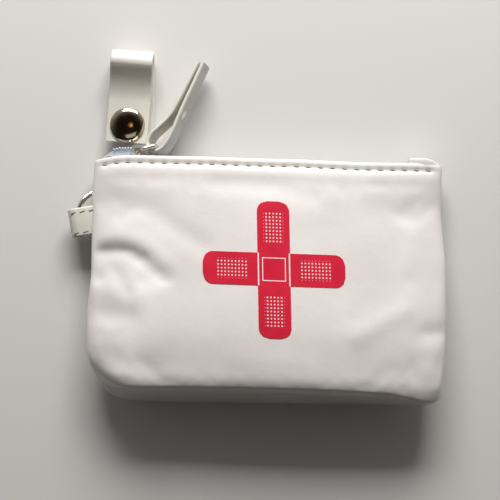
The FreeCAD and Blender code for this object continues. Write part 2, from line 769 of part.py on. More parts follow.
def supplies():
    made = {}
    x0, x1 = gauze_roll_x - gauze_roll_length / 2, gauze_roll_x + gauze_roll_length / 2
    low = floor_under(x0, x1, gauze_roll_y, gauze_roll_y)
    axis_z = low + gauze_roll_r
    a, b = V(x0, gauze_roll_y, axis_z), V(x1, gauze_roll_y, axis_z)
    made["gauze_roll"] = cylinder(gauze_roll_r, a, b).cut(
        cylinder(gauze_roll_core_r, a - X_AXIS, b + X_AXIS))
    t0 = x1 + supply_gap
    t1 = t0 + tape_roll_length
    tape_z = floor_under(t0, t1, gauze_roll_y, gauze_roll_y) + tape_roll_r
    a, b = V(t0, gauze_roll_y, tape_z), V(t1, gauze_roll_y, tape_z)
    made["tape_roll"] = cylinder(tape_roll_r, a, b).cut(cylinder(tape_core_r, a - X_AXIS, b + X_AXIS))
    made["tape_core"] = cylinder(tape_core_r - hole_gap, a, b).cut(
        cylinder(tape_core_r - tape_core_wall, a - X_AXIS, b + X_AXIS))

    y0, y1 = plaster_y - plaster_width / 2, plaster_y + plaster_width / 2
    low = floor_under(-plaster_length / 2, plaster_length / 2, y0, y1)
    made["plasters"], top = stack(plaster_length, plaster_width, plaster_thick, plaster_count,
                                  0, plaster_y, low)
    low = max(top + supply_gap, floor_under(pad_x - pad_length / 2, pad_x, pad_y - pad_width / 2,
                                            pad_y + pad_width / 2))
    made["gauze_pads"], pad_top = stack(pad_length, pad_width, pad_thick, pad_count, pad_x, pad_y, low)
    low = max(top + supply_gap, floor_under(wipe_x, wipe_x + wipe_length / 2, wipe_y - wipe_width / 2,
                                            wipe_y + wipe_width / 2))
    made["wipe_sachets"], wipe_top = stack(wipe_length, wipe_width, wipe_thick, wipe_count,
                                           wipe_x, wipe_y, low)
    made["tweezers"] = tweezers(max(pad_top, wipe_top) + supply_gap)
    made["safety_pins"] = safety_pins(wipe_top + supply_gap + pin_head / 4)
    return made


def tweezers(low):
    # two sprung arms joined at the right-hand end, lying on their side
    half, gap, arm = tweezer_length / 2, tweezer_open / 2, tweezer_arm
    y, joint = tweezer_y, tweezer_length / 2 - tweezer_joint
    outline = [(-half, y + gap), (joint, y + arm), (half, y + arm), (half, y - arm),
               (joint, y - arm), (-half, y - gap), (-half, y - gap + arm), (joint, y),
               (-half, y + gap - arm)]
    return prism([V(px, py, low) for px, py in outline], Z_AXIS * tweezer_width)


def safety_pins(mid_z):
    pins = []
    for i in range(pin_count):
        y = wipe_y + (i - (pin_count - 1) / 2) * pin_pitch + pin_pitch / 2
        x0, x1 = wipe_x - pin_length / 2, wipe_x + pin_length / 2
        bars = [cylinder(pin_wire_r, V(x0, y + s * pin_half_open, mid_z),
                         V(x1, y + s * pin_half_open, mid_z)) for s in (1, -1)]
        bend = Part.makeTorus(pin_half_open, pin_wire_r, V(x0, y, mid_z), Z_AXIS)
        head_x = x1 - pin_head_lap
        head = box(head_x, head_x + pin_head, y - pin_half_width, y + pin_half_width,
                   mid_z - pin_head / 4, mid_z + pin_head / 4)
        pins.append(bars[0].fuse([bars[1], bend, head]).removeSplitter())
    return Part.makeCompound(pins)


def build():
    parts = {}
    parts.update(panels())
    parts.update(zip_tapes())
    parts["zip_coil_front"], parts["zip_coil_back"] = coil_row(1), coil_row(-1)
    parts.update(zip_ends())
    parts["zip_slider"] = slider_body()
    first, second = pull_points()
    parts["pull_link"] = pull_link(first, second)
    parts["leather_pull"], parts["pull_rivet"] = leather_pull(second)
    strap, snap = hang_strap()
    parts.update(strap)
    parts.update(snap_fastener(snap))
    parts["side_tab"] = side_tab()
    parts["side_ring"] = side_ring()
    parts["front_emblem"] = front_emblem()
    parts.update(supplies())
    return parts


os.makedirs("parts", exist_ok=True)
for name, shape in build().items():
    shape.exportStep(f"parts/{name}.step")
    print(f"{name:18s} {shape.Volume:10.1f} mm3  solids {len(shape.Solids)}")
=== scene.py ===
import math

import bpy
import numpy as np
from mathutils import Matrix, Vector
from mathutils.bvhtree import BVHTree


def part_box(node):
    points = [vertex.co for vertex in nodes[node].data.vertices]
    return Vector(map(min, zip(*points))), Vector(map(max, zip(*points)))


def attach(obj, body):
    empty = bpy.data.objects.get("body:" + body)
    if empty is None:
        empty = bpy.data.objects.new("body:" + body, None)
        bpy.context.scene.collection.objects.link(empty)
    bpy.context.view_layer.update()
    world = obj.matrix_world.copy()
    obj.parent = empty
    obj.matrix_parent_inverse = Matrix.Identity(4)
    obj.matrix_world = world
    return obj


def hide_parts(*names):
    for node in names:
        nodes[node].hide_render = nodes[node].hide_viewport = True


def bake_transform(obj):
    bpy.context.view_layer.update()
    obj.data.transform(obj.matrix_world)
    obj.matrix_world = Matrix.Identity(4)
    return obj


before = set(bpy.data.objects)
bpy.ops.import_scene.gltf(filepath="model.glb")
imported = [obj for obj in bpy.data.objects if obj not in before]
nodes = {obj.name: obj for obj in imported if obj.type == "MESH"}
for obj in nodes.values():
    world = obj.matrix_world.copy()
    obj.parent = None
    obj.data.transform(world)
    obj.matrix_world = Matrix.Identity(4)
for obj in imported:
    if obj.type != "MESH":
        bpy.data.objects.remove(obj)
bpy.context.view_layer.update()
mm = 0.001


def deselect():
    bpy.ops.object.select_all(action="DESELECT")


def only(piece):
    deselect()
    piece.select_set(True)
    bpy.context.view_layer.objects.active = piece


def named(name):
    piece = bpy.context.active_object
    piece.name = piece.data.name = name
    return piece


def boxOf(node):
    low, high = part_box(node)
    return np.array(low) / mm, np.array(high) / mm


def pointsOf(piece):
    points = np.zeros(len(piece.data.vertices) * 3)
    piece.data.vertices.foreach_get("co", points)
    return points.reshape(-1, 3) / mm


def normalsOf(piece):
    normals = np.zeros(len(piece.data.vertices) * 3)
    piece.data.vertices.foreach_get("normal", normals)
    return normals.reshape(-1, 3)


def setPoints(piece, points):
    piece.data.vertices.foreach_set("co", (np.asarray(points) * mm).ravel())
    piece.data.update()


def smoothStep(values, start, end):
    t = np.clip((np.asarray(values, float) - start) / (end - start), 0, 1)
    return t * t * (3 - 2 * t)


def between(values, stops):
    # straight-line value between (place, value) stops
    places, amounts = zip(*stops)
    return np.interp(values, places, amounts)


def apply(piece, kind, **settings):
    # adds one modifier and applies it at once
    only(piece)
    modifier = piece.modifiers.new(kind.lower(), kind)
    for key, value in settings.items():
        setattr(modifier, key, value)
    bpy.ops.object.modifier_apply(modifier=modifier.name)


def edit(piece, *steps):
    # runs edit mode steps on the whole of a mesh
    only(piece)
    bpy.ops.object.mode_set(mode="EDIT")
    bpy.ops.mesh.select_all(action="SELECT")
    for step in steps:
        step()
    bpy.ops.object.mode_set(mode="OBJECT")


def mergeDoubles():
    bpy.ops.mesh.remove_doubles(threshold=0.00001)


def faceOut():
    bpy.ops.mesh.normals_make_consistent(inside=False)


def smooth(piece, angle=50):
    only(piece)
    bpy.ops.object.shade_smooth_by_angle(angle=math.radians(angle))


def place(piece, matrix):
    # moves a mesh to its place, so that its object stays at the origin, unturned and unscaled
    piece.data.transform(matrix)
    piece.matrix_world = Matrix.Identity(4)
    piece.data.update()


def joined(pieces, name):
    deselect()
    for piece in pieces:
        piece.select_set(True)
    bpy.context.view_layer.objects.active = pieces[0]
    if len(pieces) > 1:
        bpy.ops.object.join()
    return named(name)


def finished(piece, material, body="", replaced=()):
    # gives a finished piece its material, its body and the nodes it stands for
    piece.data.materials.clear()
    piece.data.materials.append(material)
    if body:
        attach(piece, body)
    if replaced:
        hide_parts(*replaced)


def axes(x, y, z, at):
    # the matrix that puts a piece's own axes on x, y and z, at a point in millimetres
    columns = [Vector(a).normalized() for a in (x, y, z)] + [Vector(at) * mm]
    return Matrix([[c[i] for c in columns] for i in range(3)] + [[0, 0, 0, 1]])


def band(name, points, width, thick, steps=8, rounding=4):
    # a strip of leather or tape: a flat curve through its points, drawn out to its width
    bpy.ops.curve.primitive_bezier_curve_add()
    piece = named(name)
    curve = piece.data
    curve.dimensions = "2D"
    curve.fill_mode = "NONE"
    curve.splines.clear()
    spline = curve.splines.new("BEZIER")
    spline.bezier_points.add(len(points) - 1)
    for point, (x, y) in zip(spline.bezier_points, points):
        point.co = (x * mm, y * mm, 0)
        point.handle_left_type = point.handle_right_type = "AUTO"
    curve.resolution_u = steps
    curve.extrude = (width - thick) / 2 * mm
    curve.bevel_depth = thick / 2 * mm
    curve.bevel_resolution = rounding
    curve.use_fill_caps = True
    only(piece)
    bpy.ops.object.convert(target="MESH")
    edit(piece, mergeDoubles, faceOut)
    return piece


def linear(hexColour):
    # an sRGB hex colour as the linear values that a shader takes
    values = [int(hexColour[i:i + 2], 16) / 255 for i in (1, 3, 5)]
    return [v / 12.92 if v < 0.04045 else ((v + 0.055) / 1.055) ** 2.4 for v in values] + [1]


def wire(tree, node, links):
    # gives a node's inputs their values, or links them to a socket, or to the first output of a node
    for key, value in links.items():
        if isinstance(value, bpy.types.Node):
            value = value.outputs[0]
        if isinstance(value, bpy.types.NodeSocket):
            tree.links.new(value, node.inputs[key])
        else:
            node.inputs[key].default_value = value


def add(tree, kind, links, stops=(), **settings):
    # adds a node with its settings and links; stops are the places and hex colours of a ramp
    node = tree.nodes.new("ShaderNode" + kind)
    for key, value in settings.items():
        setattr(node, key, value)
    for element, (at, colour) in zip(node.color_ramp.elements if stops else (), stops):
        element.position = at
        element.color = linear(colour)
    wire(tree, node, links)
    return node


def material(name, **shader):
    # a fresh material: its tree, its shader with fixed values, and its object coordinates
    made = bpy.data.materials.new(name)
    made.use_nodes = True
    tree = made.node_tree
    bsdf = tree.nodes["Principled BSDF"]
    for key, value in shader.items():
        bsdf.inputs[key.replace("_", " ")].default_value = value
    where = add(tree, "TexCoord", {}).outputs["Object"]
    return made, tree, bsdf, where


def coatedLeather(name, colour, shade, roughness=0.42, grain=0.55):
    # calendered PU coating on a knit backing: a soft white sheen with a fine pressed pebble grain
    made, tree, bsdf, where = material(name, IOR=1.5, Coat_Weight=0.12, Coat_Roughness=0.22,
                                       Sheen_Weight=0.05)
    patches = add(tree, "TexNoise", {"Vector": where, "Scale": 1 / (28 * mm), "Detail": 3.0})
    smudge = add(tree, "TexNoise", {"Vector": where, "Scale": 1 / (6 * mm), "Detail": 4.0})
    creep = add(tree, "TexNoise", {"Vector": where, "Scale": 1 / (3.5 * mm), "Detail": 5.0})
    pebble = add(tree, "TexVoronoi", {"Vector": where, "Scale": 1 / (grain * mm)}, feature="SMOOTH_F1")
    tone = add(tree, "ValToRGB", {"Fac": patches}, [(0.3, shade), (0.7, colour)])
    share = add(tree, "Math", {0: smudge, 1: 0.12}, operation="MULTIPLY")
    smudged = add(tree, "Mix", {0: share, 6: tone, 7: linear(shade)}, data_type="RGBA")
    rough = add(tree, "Math", {0: creep, 1: 0.16, 2: roughness - 0.08}, operation="MULTIPLY_ADD")
    soft = add(tree, "Bump", {"Height": creep, "Distance": 0.06 * mm})
    pressed = add(tree, "Bump", {"Height": pebble, "Distance": 0.035 * mm, "Strength": 0.6, "Normal": soft})
    wire(tree, bsdf, {"Base Color": smudged.outputs[2], "Roughness": rough, "Normal": pressed})
    return made


bandStep = 0.31    # how far apart the bands of a wave texture are at a scale of 1


def wovenTape(name, colour, gap, thread=0.5):
    # polyester zip tape in a fine twill: matt, faintly ribbed along its length
    made, tree, bsdf, where = material(name, IOR=1.5, Roughness=0.8, Sheen_Weight=0.25,
                                       Sheen_Roughness=0.5)
    turned = add(tree, "Mapping", {"Vector": where, "Rotation": (0, 0, math.radians(40))})
    rib = add(tree, "TexWave", {"Vector": turned, "Scale": bandStep / (thread * mm), "Distortion": 0.6,
                                "Detail": 1.0}).outputs["Fac"]
    tone = add(tree, "ValToRGB", {"Fac": rib}, [(0.1, gap), (0.6, colour)])
    ribbed = add(tree, "Bump", {"Height": rib, "Distance": 0.08 * mm})
    wire(tree, bsdf, {"Base Color": tone, "Normal": ribbed})
    return made


def weave(name, colour, gap, thread=0.6, roughness=0.85, depth=0.1):
    # plain woven cloth: two crossed rows of threads with darker gaps between them
    made, tree, bsdf, where = material(name, IOR=1.5, Roughness=roughness, Sheen_Weight=0.3,
                                       Sheen_Roughness=0.6)
    warp, weft = [add(tree, "TexWave", {"Vector": where, "Scale": bandStep / (thread * mm), "Distortion": 0.8,
                                        "Detail": 1.0}, bands_direction=way).outputs["Fac"] for way in "XY"]
    crossed = add(tree, "Math", {0: warp, 1: weft}, operation="MULTIPLY")
    tone = add(tree, "ValToRGB", {"Fac": crossed}, [(0.02, gap), (0.4, colour)])
    raised = add(tree, "Bump", {"Height": crossed, "Distance": depth * mm})
    wire(tree, bsdf, {"Base Color": tone, "Normal": raised})
    return made


def metal(name, colours, roughness, scratch=0.02):
    # plated steel or brass, tumbled and polished: a mirror with a faint haze of handling marks
    made, tree, bsdf, where = material(name, Metallic=1.0)
    haze = add(tree, "TexNoise", {"Vector": where, "Scale": 1 / (1.5 * mm), "Detail": 6.0})
    tone = add(tree, "ValToRGB", {"Fac": haze}, [(0.3, colours[0]), (0.7, colours[1])])
    rough = add(tree, "Math", {0: haze, 1: 0.12, 2: roughness}, operation="MULTIPLY_ADD")
    marked = add(tree, "Bump", {"Height": haze, "Distance": scratch * mm})
    wire(tree, bsdf, {"Base Color": tone, "Roughness": rough, "Normal": marked})
    return made


def printed(name, colour, shade, roughness=0.5, fibre=0.3):
    # paper, card or drawn nylon: a nearly even colour with a faint fibre or flow to it
    made, tree, bsdf, where = material(name, IOR=1.48, Roughness=roughness)
    fleck = add(tree, "TexNoise", {"Vector": where, "Scale": 1 / (fibre * mm), "Detail": 4.0})
    tone = add(tree, "ValToRGB", {"Fac": fleck}, [(0.35, shade), (0.65, colour)])
    rough = add(tree, "Bump", {"Height": fleck, "Distance": 0.03 * mm})
    wire(tree, bsdf, {"Base Color": tone, "Normal": rough})
    return made


leather = coatedLeather("coated PU leather, white", "#E9E4E1", "#DFD9D5")    # the pouch: a chalky white
strapLeather = coatedLeather("coated PU leather, strap", "#DEDBD2", "#D2CEC4", 0.5, 0.5)    # warmer, duller
tape = wovenTape("woven polyester tape", "#DDE6F0", "#B9C5D2")    # a cool blue-white
coilNylon = printed("drawn nylon coil", "#D6DFE8", "#C2CCD6", 0.35, 0.8)    # paler, with a small shine
thread = weave("polyester thread, painted shade", "#A39D95", "#6F6A63", 0.25)    # grey-brown and dull: painted shade, its colour darkened to stand for the shadow in the stitch holes
nickel = metal("polished nickel plate", ("#D9D3C8", "#E6E1D8"), 0.08)    # a clear mirror
satinNickel = metal("satin nickel plate", ("#E6E2DA", "#F3F0EA"), 0.36)    # a bright blur
capNickelPaintedReflection = metal("domed nickel snap cap, painted reflection", ("#AD9F8A", "#C4B8A4"), 0.05, 0.01)    # a mirror whose colour is darkened and warmed: a painted reflection of the dark, warm room over it
liningCloth = weave("woven nylon lining", "#E4E4E2", "#BDBDBA", 0.4, 0.6)    # a thin, faintly shiny cloth
gauze = weave("open cotton gauze", "#F1EFE9", "#C9C5BB", 0.9, 0.9, 0.2)    # soft, with gaps that show
clothTape = weave("woven cloth tape", "#E7D9C4", "#CDBDA4", 0.35)    # skin-coloured and matt
card = printed("grey card", "#B49B78", "#9C8463", 0.85)    # a flat buff
paper = printed("medical paper", "#F2F1EE", "#E4E3DF", 0.65, 0.5)    # white, with a faint fibre
foil = metal("aluminium foil laminate", ("#C4C9CE", "#D6DADE"), 0.28, 0.08)    # silver, crinkled
steel = metal("brushed stainless steel", ("#B6B8BA", "#C7C9CB"), 0.22, 0.03)    # a cool, soft shine
print("materials made")


# the pouch: one skin from the lip down to the base; a fade is where a change starts and where it is full
pouch = dict(
    columns=116, wallRows=33, wallFrom=36.2,    # columns go round the section, half of them over the front
    frontSquareness=(3.4, 2.5, 3.8), backSquareness=(2.6, 1.6, 3.8),    # at the base, waist and mouth
    half=62.5, mouthY=42.5, waistY=26.0, liftY=12.0, baseY=-44.2, mouthLow=2.1, mouthHigh=13.5, baseHigh=26.9,
    baseSeamZ=15.0, baseLean=0.30, edgeRound=3.6, edgeIn=3.2, bulge=0.7, dip=0.8,
    lip=[(34.0, 1.5), (37.5, 1.5), (40.6, 1.5), (42.0, 1.25), (42.45, 0.8), (42.3, 0.3),
         (41.6, 0.02), (40.5, 0.0), (39.2, 0.0), (37.6, 0.0)],    # y, and how far in
    edgeSoft=9, endFrom=50, endOver=12, lineShort=0.97,    # the base edge rounds off its seam and at its ends
    groundGap=0.05,
    pressure=1.6, slack=-0.003, frames=16, most=0.28,    # most is as far as the filling moves the skin
    pinned=dict(lip=(30, 38), base=(30, 36), ground=(-1.2, -0.4)),
    sideFade=(25, 61), lipFade=(12, 41), baseFade=(8, 34), highFade=(12, 26),
    outlineLeft=[(-44.5, -61.4), (-41.5, -60.4), (-39, -59.3), (-35.8, -59.9), (-32.9, -61.4), (-30, -62.5),
                 (-24.6, -63.2), (-10.6, -63.0), (2, -62.1), (28, -62.5), (40, -61.6), (43, -61.6)],    # y, x
    outlineRight=[(-44.5, 61.4), (-40, 61.0), (-29, 61.4), (-21, 62.1), (-7, 62.6), (7, 62.6), (21, 61.3),
                  (28, 61.0), (40, 61.4), (43, 61.4)],
    lipLift=[(-62, -0.7), (-58, 0.1), (-54, 0.8), (-50, 1.1), (-40, 0.95), (-20, 0.6), (-6, 0.15), (10, -0.1),
             (32, -1.0), (46, -1.05), (56, -1.1), (62, -1.7)],    # x, and how far towards the zip
    baseTop=[(-60, -1.2), (-51.7, -2.2), (-30, -2.5), (-9.5, -2.6), (16.4, -3.1), (42.5, -4.2), (52, -5.8),
             (57, -7.2), (62, -7.8)],
    baseFoot=[(-60, 0.6), (-50, 0.1), (-25, 0.0), (30, -0.3), (42, -0.6), (50, -1.2), (59, -2.0), (62, -2.2)],
    squash=0.05, squashFade=(-10, 60),    # its left end is a little flatter
    tip=2.8, tipFadeX=(40, 60), tipFadeY=(26, 41),    # the top of the right end leans in
    knock=dict(x=-61, y=-38, wide=7.5, tall=8.5, push=(0.8, 0.9, -3.0), fade=(3, 15)),    # the dented corner
    shoulders=((1.9, 16.0, 34.0, -34), (2.7, 30.5, 38.5, -48)),    # how far, between which y, right of x
    shoulderOver=14, creaseFadeZ=(0.5, 4.5), creaseFadeY=(-41, -36))

# soft dents and swells in its front: points, width, depth (in is less than nothing)
creases = [
    ([(-58, 9.4), (-54.6, 10), (-50.5, 10), (-47.2, 9.1), (-43.8, 7.2)], 2.1, -1.6),
    ([(-41.5, 5.4), (-39.3, 3.2), (-35.4, 0.6)], 2.0, -0.9),
    ([(-56, 14.4), (-50.5, 14.7), (-45.4, 13.4), (-40.2, 10.5), (-35.6, 6.3)], 3.4, 0.55),
    ([(-58, 5.4), (-50.5, 6), (-46, 4.2), (-43.5, 0.4)], 3.6, -0.7),
    ([(-60.5, 1.2), (-58.2, 0.2)], 1.8, -0.8),
    ([(-53.4, 3), (-50.6, 0), (-48.4, -4.4)], 1.7, -0.5),
    ([(-56.5, -2.6), (-55, -3.4)], 2.4, 0.3),
    ([(-57, -11.4), (-48, -12.8)], 4.2, -1.0),
    ([(-42, -6), (-41, -22)], 5.0, 0.7),
    ([(-52, 29.5), (-38, 22), (-23, 12)], 3.4, -0.5),
    ([(-18, 33), (2, 32), (16, 29)], 3.0, -0.4),
    ([(10, 14), (32, 22), (60, 29)], 6.5, -0.25),
    ([(60, -17.4), (54, -18.2)], 2.4, -0.9),
    ([(30.8, -18.5), (38, -14.5), (47, -10)], 3.4, 0.6),
    ([(-10, -27), (14, -29)], 4.5, 0.35),
    ([(54, -30), (58, -36)], 3.0, 0.5),
    ([(-63, -30.5), (-58.6, -34.4), (-53.5, -39)], 1.7, -1.6),
]


def squareness(y, powers):
    base, waist, mouth = powers
    return between(y, [(pouch["baseY"], base), (pouch["waistY"], waist), (pouch["mouthY"], mouth)])


def seamZ(y):
    middle = (pouch["mouthLow"] + pouch["mouthHigh"]) / 2
    share = (pouch["mouthY"] - y) / (pouch["mouthY"] - pouch["baseY"])
    return middle + (pouch["baseSeamZ"] - middle) * share


def halfSection(y, side, inset, count):
    # evenly spaced points over one half of the section at y, from the right seam to the left
    power = squareness(y, pouch["frontSquareness"] if side > 0 else pouch["backSquareness"])
    share = min(1, max(0, (pouch["mouthY"] - y) / (pouch["mouthY"] - pouch["baseY"])))
    lift = min(1, max(0, (y - pouch["liftY"]) / (pouch["mouthY"] - pouch["liftY"])))
    if side > 0:
        rise = (pouch["baseHigh"] - pouch["mouthHigh"]) * share
        limit = pouch["mouthHigh"] + rise + pouch["bulge"] * math.sin(math.pi * share) - inset
    else:
        limit = -pouch["dip"] + (pouch["mouthLow"] + pouch["dip"]) * lift ** 2 + inset
    turn = np.linspace(0, math.pi, 400)
    c, s = np.cos(turn), np.sin(turn)
    x = np.sign(c) * np.abs(c) ** (2 / power) * (pouch["half"] - inset)
    z = seamZ(y) + (limit - seamZ(y)) * np.abs(s) ** (2 / power)
    z = np.maximum(z, pouch["groundGap"] + inset)
    run = np.concatenate([[0], np.cumsum(np.hypot(np.diff(x), np.diff(z)))])
    spots = np.linspace(0, run[-1], count + 1)
    return np.stack([np.interp(spots, run, x), np.full(count + 1, float(y)),
                     np.interp(spots, run, z)], axis=1)


def section(y, inset=0.0):
    # the whole section, from the right seam over the front, then back underneath
    count = pouch["columns"] // 2
    front, back = halfSection(y, 1, inset, count), halfSection(y, -1, inset, count)
    return np.concatenate([front, back[::-1][1:]])


def leaned(row, share=1.0):
    # the base and the filled end lean in with height
    row = row.copy()
    row[:, 1] += pouch["baseLean"] * share * row[:, 2]
    return row


def pouchRows():
    # every ring of the pouch, from inside its lip to the middle line of its base
    baseY, r = pouch["baseY"], pouch["edgeRound"]
    rows = [section(y, inset) for y, inset in pouch["lip"]]
    for y in np.linspace(pouch["wallFrom"], baseY + pouch["edgeIn"], pouch["wallRows"]):
        rows.append(leaned(section(y), min(1, max(0, y / baseY))))
    middle = seamZ(baseY)
    for turn in (25, 60, 90):
        # the rounded edge draws in, but not next to the seam or in the middle of the width
        a = math.radians(turn)
        edge = leaned(section(baseY + r * (1 - math.sin(a))))
        shrink = r * (1 - math.cos(a))
        off = edge[:, 2] - middle
        edge[:, 2] -= np.sign(off) * shrink * np.clip(np.abs(off) / pouch["edgeSoft"], 0, 1)
        atEnd = np.clip((np.abs(edge[:, 0]) - pouch["endFrom"]) / pouch["endOver"], 0, 1)
        edge[:, 0] -= np.sign(edge[:, 0]) * shrink * atEnd
        rows.append(edge)
    line = (edge + edge[::-1]) / 2
    line[:, 0] *= pouch["lineShort"]
    line[:, 2] = middle
    line[:, 1] = baseY + pouch["baseLean"] * middle
    for share in (0.16, 0.36, 0.58, 0.8, 1.0):
        rows.append(edge + (line - edge) * share)
    return rows


def gridThrough(name, rows):
    # one grid, put through rows of points
    across, down = len(rows[0]) - 1, len(rows) - 1
    bpy.ops.mesh.primitive_grid_add(x_subdivisions=across, y_subdivisions=down, size=1)
    piece = named(name)
    grid = pointsOf(piece) * mm + 0.5
    column = np.rint(grid[:, 0] * across).astype(int)
    row = np.rint(grid[:, 1] * down).astype(int)
    setPoints(piece, np.array(rows)[row, column])
    return piece


def inflated(piece):
    # a little more skin than the seams hold, under pressure, so that it fills out and buckles
    start = pointsOf(piece)
    pins = piece.vertex_groups.new(name="pins")
    # held at the lip, at the base and where it lies on the ground
    hold = np.maximum(smoothStep(start[:, 1], *pouch["pinned"]["lip"]),
                      smoothStep(-start[:, 1], *pouch["pinned"]["base"]))
    hold = np.maximum(hold, smoothStep(-start[:, 2], *pouch["pinned"]["ground"]))
    for i, weight in enumerate(hold):
        pins.add([i], float(weight), "REPLACE")
    only(piece)
    cloth = piece.modifiers.new("cloth", "CLOTH")
    settings = cloth.settings
    settings.quality = 6
    settings.mass = 0.3
    settings.tension_stiffness = settings.compression_stiffness = 20
    settings.shear_stiffness = 12
    settings.bending_stiffness = 0.6
    settings.shrink_min = pouch["slack"]
    settings.use_pressure = True
    settings.uniform_pressure_force = pouch["pressure"]
    settings.vertex_group_mass = "pins"
    settings.effector_weights.gravity = 0
    cloth.collision_settings.use_collision = False
    for step in range(1, pouch["frames"] + 1):
        bpy.context.scene.frame_set(step)
    bpy.ops.object.modifier_apply(modifier="cloth")
    bpy.context.scene.frame_set(1)
    moved = pointsOf(piece) - start
    length = np.linalg.norm(moved, axis=1)
    print("pouch filled: moved", np.round(length.mean(), 2), "most", np.round(length.max(), 2))
    keep = np.minimum(length, pouch["most"]) / np.maximum(length, 1e-6)
    setPoints(piece, start + moved * keep[:, None])


def strokeShare(points, line, width):
    # how near each point is, in plan, to a line of points: 1 on it, fading with distance
    nearest = np.full(len(points), 1e9)
    for a, b in zip(line, line[1:]):
        a, b = np.array(a, float), np.array(b, float)
        way = b - a
        t = np.clip(((points[:, :2] - a) @ way) / (way @ way), 0, 1)
        nearest = np.minimum(nearest, np.linalg.norm(points[:, :2] - a - t[:, None] * way, axis=1))
    return np.exp(-(nearest / width) ** 2)


def lipShift(x, y):
    return between(x, pouch["lipLift"]) * smoothStep(y, *pouch["lipFade"])


def shapedPouch(points):
    # brings the plain form to its own outline, lip, base edges and knocked-in corner
    points = points.copy()
    x, y, z = points.T.copy()
    side = smoothStep(np.abs(x), *pouch["sideFade"])
    target = np.where(x < 0, between(y, pouch["outlineLeft"]), between(y, pouch["outlineRight"]))
    points[:, 0] += side * (target - np.sign(x) * pouch["half"])
    points[:, 1] += lipShift(x, y)
    end = smoothStep(-y, *pouch["baseFade"])
    high = smoothStep(z, *pouch["highFade"])
    points[:, 1] += end * (high * between(x, pouch["baseTop"]) + (1 - high) * between(x, pouch["baseFoot"]))
    points[:, 2] *= 1 - pouch["squash"] * end * smoothStep(-x, *pouch["squashFade"])
    points[:, 0] -= (pouch["tip"] * high * smoothStep(x, *pouch["tipFadeX"])
                     * smoothStep(-y, *pouch["tipFadeY"]))
    knock = pouch["knock"]
    dent = np.exp(-(((x - knock["x"]) / knock["wide"]) ** 2 + ((y - knock["y"]) / knock["tall"]) ** 2))
    points += (dent * smoothStep(z, *knock["fade"]))[:, None] * np.array(knock["push"])
    for drop, start, stop, left in pouch["shoulders"]:
        points[:, 2] -= (high * drop * smoothStep(-y, start, stop)
                         * smoothStep(x, left - pouch["shoulderOver"], left))
    front = smoothStep(z - seamZ(y), *pouch["creaseFadeZ"]) * smoothStep(y, *pouch["creaseFadeY"])
    for line, width, depth in creases:
        points[:, 2] += front * depth * strokeShare(points, line, width)
    return points


def lipLine(x):
    return pouch["mouthY"] + between(x, pouch["lipLift"])


body = gridThrough("pouch", pouchRows())
edit(body, mergeDoubles, faceOut)    # this sews the first and last columns together
print("pouch lofted:", len(body.data.vertices), "points")
inflated(body)
setPoints(body, shapedPouch(pointsOf(body)))
only(body)
bpy.ops.object.duplicate()
lining = named("lining")
apply(body, "SUBSURF", levels=2, render_levels=2)


def onFront(x, y, side=1):
    # the point on the pouch over (or under) x, y, and its normal
    hit, normal, _, _ = surface.ray_cast(Vector((x, y, 60 * side)) * mm, Vector((0, 0, -side)))
    if hit is None:
        hit, normal, _, _ = surface.find_nearest(Vector((x, y, 13 * side)) * mm)
    return hit / mm, normal


# the seam under the lip: stitches, each in its own pucker, over a soft puffed line
seam = dict(below=2.75, pitch=4.2, start=-57.5, end=60.0, stitch=(2.3, 0.52, 0.416), slant=7, proud=0.02,
            dimple=0.3, dimpleLong=1.5, dimpleWide=1.0, groove=0.22, grooveWide=0.85, puff=0.12,
            puffBelow=3.0, puffWide=1.7, facing=0.25, endFade=(57, 61), lowFade=(30, 33))


def stitchSpots():
    count = int((seam["end"] - seam["start"]) / seam["pitch"])
    xs = [seam["start"] + seam["pitch"] * i for i in range(count + 1)]
    return [(x, float(lipLine(x)) - seam["below"]) for x in xs]


def sewn(piece):
    # a groove along the row, a puff below it, and a dimple at each stitch
    points, normals = pointsOf(piece), normalsOf(piece)
    x, y = points[:, 0], points[:, 1]
    off = y - (lipLine(x) - seam["below"])
    push = -seam["groove"] * np.exp(-(off / seam["grooveWide"]) ** 2)
    push += seam["puff"] * np.exp(-((off + seam["puffBelow"]) / seam["puffWide"]) ** 2)
    for sx, sy in stitchSpots():
        push -= seam["dimple"] * np.exp(-(((x - sx) / seam["dimpleLong"]) ** 2
                                          + ((y - sy) / seam["dimpleWide"]) ** 2))
    facing = np.abs(normals[:, 2]) > seam["facing"]
    ends = 1 - smoothStep(np.abs(x), *seam["endFade"])
    points += normals * (push * facing * ends * smoothStep(y, *seam["lowFade"]))[:, None]
    setPoints(piece, points)


sewn(body)
smooth(body, 60)
surface = BVHTree.FromPolygons([v.co for v in body.data.vertices],
                               [p.vertices for p in body.data.polygons])
finished(body, leather, "pouch", ["front_panel", "back_panel"])
print("pouch shaped:", len(body.data.polygons), "faces")

# the lining: the same bag again, a wall's thickness inside, ending at the zip tapes
liningCut = dict(wall=1.5, cloth=0.3, endY=32.4)
setPoints(lining, pointsOf(lining) - normalsOf(lining) * liningCut["wall"])
edit(lining, lambda: bpy.ops.mesh.bisect(plane_co=(0, liningCut["endY"] * mm, 0), plane_no=(0, 1, 0),
                                         clear_outer=True))
apply(lining, "SUBSURF", levels=1, render_levels=1)
apply(lining, "SOLIDIFY", thickness=liningCut["cloth"] * mm, offset=-1)
smooth(lining, 70)
finished(lining, liningCloth, "pouch", ["lining_front", "lining_back"])


def bead(name, size, segments=8, rings=6):
    # a small rounded grain, lying along X
    bpy.ops.mesh.primitive_uv_sphere_add(segments=segments, ring_count=rings, radius=0.5)
    piece = named(name)
    edit(piece, lambda: bpy.ops.transform.rotate(value=math.pi / 2, orient_axis="Y",
                                                 center_override=(0, 0, 0)),
         lambda: bpy.ops.transform.resize(value=[v * mm for v in size]))
    smooth(piece, 80)
    return piece


